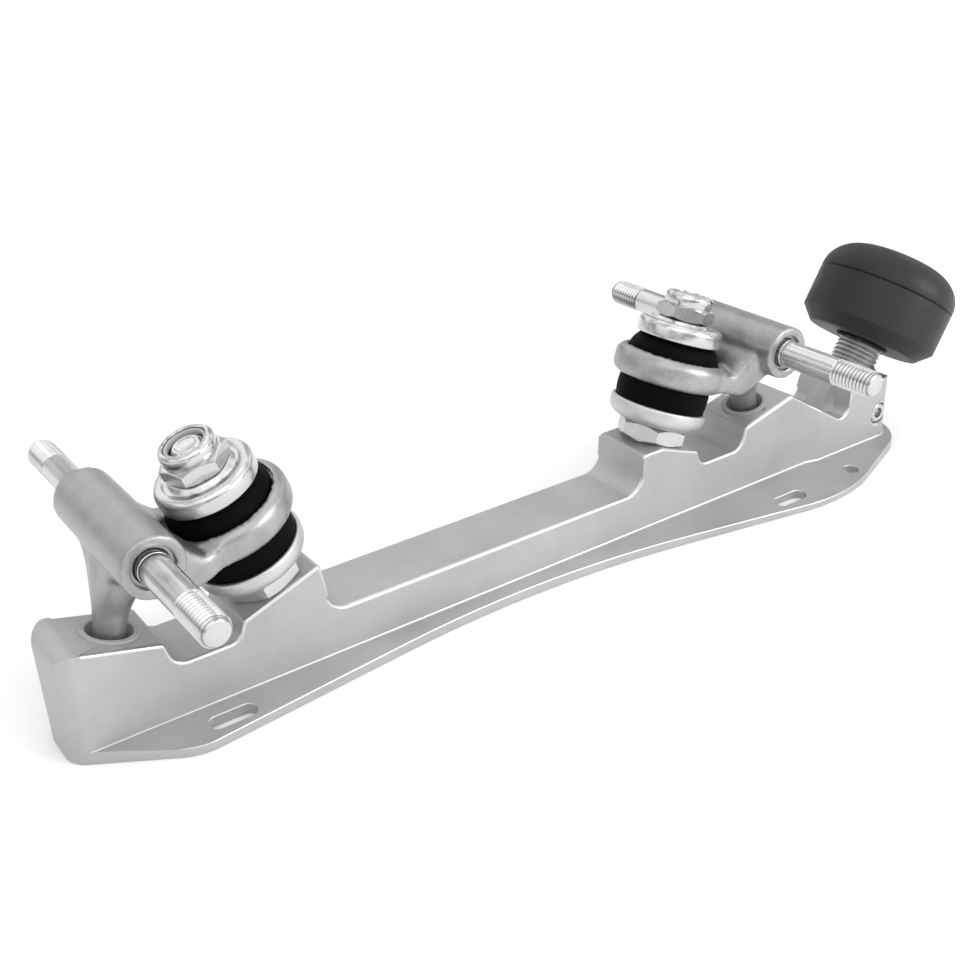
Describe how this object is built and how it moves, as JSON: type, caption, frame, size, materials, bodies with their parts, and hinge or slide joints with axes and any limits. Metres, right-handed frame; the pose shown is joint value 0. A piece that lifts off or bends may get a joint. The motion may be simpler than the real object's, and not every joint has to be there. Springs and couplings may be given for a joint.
{
  "type": "roller skate plate",
  "caption": "Aluminium quad roller skate plate with steering trucks on cushions, threaded axles and a screw-in toe stop, without wheels or boot.",
  "frame": {"origin": "on the sole face, in the plate's mid plane, midway between the two axles", "axes": "+X towards the toe, +Y across the plate to its left, +Z from the sole face up to the trucks"},
  "size_m": [0.322, 0.112, 0.0727],
  "materials": {
    "machined_aluminium": "bead-blasted satin, bright machined edges",
    "cast_aluminium": "tumbled casting, satin",
    "plated_steel": "bright zinc plate",
    "urethane": "matte black urethane",
    "stop_rubber": "satin dark grey rubber",
    "pivot_plastic": "grey plastic",
    "nylon": "natural nylon",
    "black_steel": "black oxide"
  },
  "bodies": {
    "root": {"plate": "machined_aluminium", "front_pivot_cup": "pivot_plastic", "front_kingpin": "plated_steel", "front_lower_cup": "plated_steel", "front_lower_cushion": "urethane", "front_upper_cushion": "urethane", "rear_pivot_cup": "pivot_plastic", "rear_kingpin": "plated_steel", "rear_lower_cup": "plated_steel", "rear_lower_cushion": "urethane", "rear_upper_cushion": "urethane"},
    "toe_stop_washer": {"toe_stop_washer": "black_steel"},
    "toe_stop": {"toe_stop_rubber": "stop_rubber", "toe_stop_stem": "plated_steel"},
    "pinch_screw": {"pinch_screw": "plated_steel"},
    "front_truck": {"front_hanger": "cast_aluminium", "front_axle": "plated_steel"},
    "front_upper_cup": {"front_upper_cup": "plated_steel"},
    "front_lock_nut": {"front_lock_nut": "plated_steel", "front_nut_insert": "nylon"},
    "front_jam_nut": {"front_jam_nut": "plated_steel"},
    "rear_truck": {"rear_hanger": "cast_aluminium", "rear_axle": "plated_steel"},
    "rear_upper_cup": {"rear_upper_cup": "plated_steel"},
    "rear_lock_nut": {"rear_lock_nut": "plated_steel", "rear_nut_insert": "nylon"},
    "rear_jam_nut": {"rear_jam_nut": "plated_steel"}
  },
  "joints": [
    {"name": "front_steer", "type": "hinge", "parent": "root", "child": "front_truck", "pos_m": [0.10911, 0, 0.02357], "axis": [-0.8105, 0, 0.5858], "range_deg": [-10, 10], "stiffness_Nm_per_rad": 20, "deforming": ["front_lower_cushion", "front_upper_cushion"]},
    {"name": "front_cup_travel", "type": "slide", "parent": "root", "child": "front_upper_cup", "axis": [0.342, 0, 0.9397], "range_m": [-0.0013, 0.0013]},
    {"name": "front_lock_nut_turn", "type": "hinge", "parent": "front_upper_cup", "child": "front_lock_nut", "pos_m": [0.0664, 0, 0.0272], "axis": [0.342, 0, 0.9397], "range_deg": [-360, 360]},
    {"name": "front_jam_nut_turn", "type": "hinge", "parent": "root", "child": "front_jam_nut", "pos_m": [0.0664, 0, 0.0272], "axis": [0.342, 0, 0.9397], "continuous": true},
    {"name": "rear_steer", "type": "hinge", "parent": "root", "child": "rear_truck", "pos_m": [-0.10911, 0, 0.02357], "axis": [0.8105, 0, 0.5858], "range_deg": [-10, 10], "stiffness_Nm_per_rad": 20, "deforming": ["rear_lower_cushion", "rear_upper_cushion"]},
    {"name": "rear_cup_travel", "type": "slide", "parent": "root", "child": "rear_upper_cup", "axis": [-0.342, 0, 0.9397], "range_m": [-0.0013, 0.0013]},
    {"name": "rear_lock_nut_turn", "type": "hinge", "parent": "rear_upper_cup", "child": "rear_lock_nut", "pos_m": [-0.0664, 0, 0.0272], "axis": [-0.342, 0, 0.9397], "range_deg": [-360, 360]},
    {"name": "rear_jam_nut_turn", "type": "hinge", "parent": "root", "child": "rear_jam_nut", "pos_m": [-0.0664, 0, 0.0272], "axis": [-0.342, 0, 0.9397], "continuous": true},
    {"name": "toe_stop_travel", "type": "slide", "parent": "root", "child": "toe_stop_washer", "axis": [0.5344, 0, 0.8453], "range_m": [-0.0049, 0.0097]},
    {"name": "toe_stop_turn", "type": "hinge", "parent": "toe_stop_washer", "child": "toe_stop", "pos_m": [0.1646, 0, 0.0349], "axis": [0.5344, 0, 0.8453], "range_deg": [-1080, 2160]},
    {"name": "pinch_screw_turn", "type": "hinge", "parent": "root", "child": "pinch_screw", "pos_m": [0.1629, 0, 0.0121], "axis": [0, 1, 0], "continuous": true}
  ],
  "couplings": [
    {"joint": "front_cup_travel", "follows": "front_lock_nut_turn", "m_per_rad": 0.00019894},
    {"joint": "rear_cup_travel", "follows": "rear_lock_nut_turn", "m_per_rad": 0.00019894},
    {"joint": "toe_stop_travel", "follows": "toe_stop_turn", "m_per_rad": 0.00025465}
  ]
}
